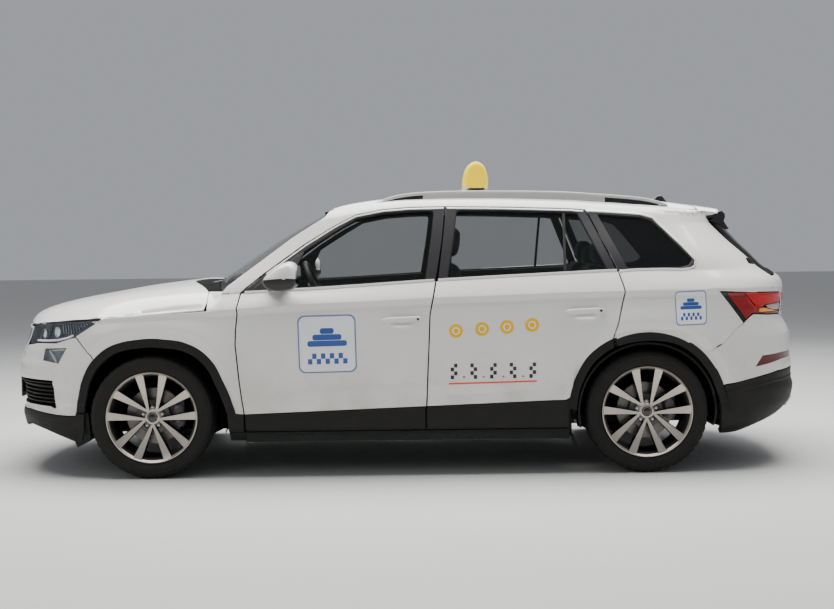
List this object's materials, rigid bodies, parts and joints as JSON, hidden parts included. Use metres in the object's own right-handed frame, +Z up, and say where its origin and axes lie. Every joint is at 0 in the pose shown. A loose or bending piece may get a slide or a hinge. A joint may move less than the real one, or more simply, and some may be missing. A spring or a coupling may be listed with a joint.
{
  "type": "taxi cab, five-door compact sport-utility car",
  "caption": "White five-door taxi cab on a compact sport-utility body, with opening doors, bonnet and tailgate, steered front wheels and a yellow roof sign.",
  "frame": {"origin": "on the ground, under the middle of the car's length and width", "axes": "+Z up, front at -X, left side at -Y"},
  "size_m": [4.689, 2.28, 1.8049],
  "materials": {
    "paint": "gloss white",
    "glass_clear": "light tint",
    "glass_dark": "dark tint",
    "tyre": "rubber",
    "alloy": "machined",
    "plastic_black": "satin",
    "plastic_grey": "satin",
    "lamp_clear": "gloss",
    "lamp_red": "gloss",
    "underbody": "matt",
    "cast_grey": "cast",
    "steel": "brushed",
    "seat_cloth": "woven",
    "rail_silver": "satin",
    "sign_yellow": "gloss"
  },
  "bodies": {
    "body": {"body_side_left": "paint", "front_fender_left": "paint", "body_side_right": "paint", "front_fender_right": "paint", "roof_panel": "paint", "windscreen": "glass_clear", "quarter_windows": "glass_dark", "front_bumper": "paint", "grille": "plastic_black", "headlamps": "lamp_clear", "rear_bumper": "paint", "tail_lamps": "lamp_red", "floor_pan": "underbody", "cowl_panel": "underbody", "engine_block": "cast_grey", "front_subframe": "cast_grey", "rear_subframe": "cast_grey", "exhaust": "steel", "dashboard": "plastic_grey", "centre_console": "plastic_grey", "front_seats": "seat_cloth", "rear_bench": "seat_cloth", "roof_rails": "rail_silver", "roof_sign": "sign_yellow", "roof_antenna": "plastic_black"},
    "front_door_left_body": {"front_door_left": "paint", "front_door_glass_left": "glass_clear", "mirror_left": "paint"},
    "rear_door_left_body": {"rear_door_left": "paint", "rear_door_glass_left": "glass_clear"},
    "knuckle_left_body": {"knuckle_left": "cast_grey"},
    "front_wheel_left_body": {"front_wheel_left": "alloy", "front_tyre_left": "tyre"},
    "rear_wheel_left_body": {"rear_wheel_left": "alloy", "rear_tyre_left": "tyre"},
    "front_door_right_body": {"front_door_right": "paint", "front_door_glass_right": "glass_clear", "mirror_right": "paint"},
    "rear_door_right_body": {"rear_door_right": "paint", "rear_door_glass_right": "glass_clear"},
    "knuckle_right_body": {"knuckle_right": "cast_grey"},
    "front_wheel_right_body": {"front_wheel_right": "alloy", "front_tyre_right": "tyre"},
    "rear_wheel_right_body": {"rear_wheel_right": "alloy", "rear_tyre_right": "tyre"},
    "bonnet_body": {"bonnet": "paint"},
    "tailgate_body": {"tailgate": "paint", "tailgate_glass": "glass_dark", "tailgate_lamps": "lamp_red"},
    "steering_wheel_body": {"steering_wheel": "plastic_black"}
  },
  "joints": [
    {"name": "front_door_left_hinge", "type": "hinge", "parent": "body", "child": "front_door_left_body", "pos_m": [-0.913, -0.92, 0.7], "axis": [0, 0, -1], "range_deg": [0, 68]},
    {"name": "rear_door_left_hinge", "type": "hinge", "parent": "body", "child": "rear_door_left_body", "pos_m": [0.155, -0.918, 0.7], "axis": [0, 0, -1], "range_deg": [0, 70]},
    {"name": "steer_left", "type": "hinge", "parent": "body", "child": "knuckle_left_body", "pos_m": [-1.4445, -0.745, 0.346], "axis": [0, 0, 1], "range_deg": [-35, 35]},
    {"name": "front_wheel_left_spin", "type": "hinge", "parent": "knuckle_left_body", "child": "front_wheel_left_body", "pos_m": [-1.4445, -0.788, 0.346], "axis": [0, 1, 0], "continuous": true},
    {"name": "rear_wheel_left_spin", "type": "hinge", "parent": "body", "child": "rear_wheel_left_body", "pos_m": [1.3465, -0.783, 0.346], "axis": [0, 1, 0], "continuous": true},
    {"name": "front_door_right_hinge", "type": "hinge", "parent": "body", "child": "front_door_right_body", "pos_m": [-0.913, 0.92, 0.7], "axis": [0, 0, 1], "range_deg": [0, 68]},
    {"name": "rear_door_right_hinge", "type": "hinge", "parent": "body", "child": "rear_door_right_body", "pos_m": [0.155, 0.918, 0.7], "axis": [0, 0, 1], "range_deg": [0, 70]},
    {"name": "steer_right", "type": "hinge", "parent": "body", "child": "knuckle_right_body", "pos_m": [-1.4445, 0.745, 0.346], "axis": [0, 0, 1], "range_deg": [-35, 35]},
    {"name": "front_wheel_right_spin", "type": "hinge", "parent": "knuckle_right_body", "child": "front_wheel_right_body", "pos_m": [-1.4445, 0.788, 0.346], "axis": [0, 1, 0], "continuous": true},
    {"name": "rear_wheel_right_spin", "type": "hinge", "parent": "body", "child": "rear_wheel_right_body", "pos_m": [1.3465, 0.783, 0.346], "axis": [0, 1, 0], "continuous": true},
    {"name": "bonnet_hinge", "type": "hinge", "parent": "body", "child": "bonnet_body", "pos_m": [-1.116, 0, 1.08], "axis": [0, 1, 0], "range_deg": [0, 55]},
    {"name": "tailgate_hinge", "type": "hinge", "parent": "body", "child": "tailgate_body", "pos_m": [1.694, 0, 1.53], "axis": [0, -1, 0], "range_deg": [0, 80]},
    {"name": "steering_wheel_turn", "type": "hinge", "parent": "body", "child": "steering_wheel_body", "pos_m": [-0.537, -0.37, 1.04], "axis": [0.9135, 0, 0.4067], "range_deg": [-510, 510]}
  ],
  "couplings": [
    {"joint": "steer_right", "follows": "steer_left", "ratio": 1},
    {"joint": "steering_wheel_turn", "follows": "steer_left", "ratio": 14.5}
  ]
}
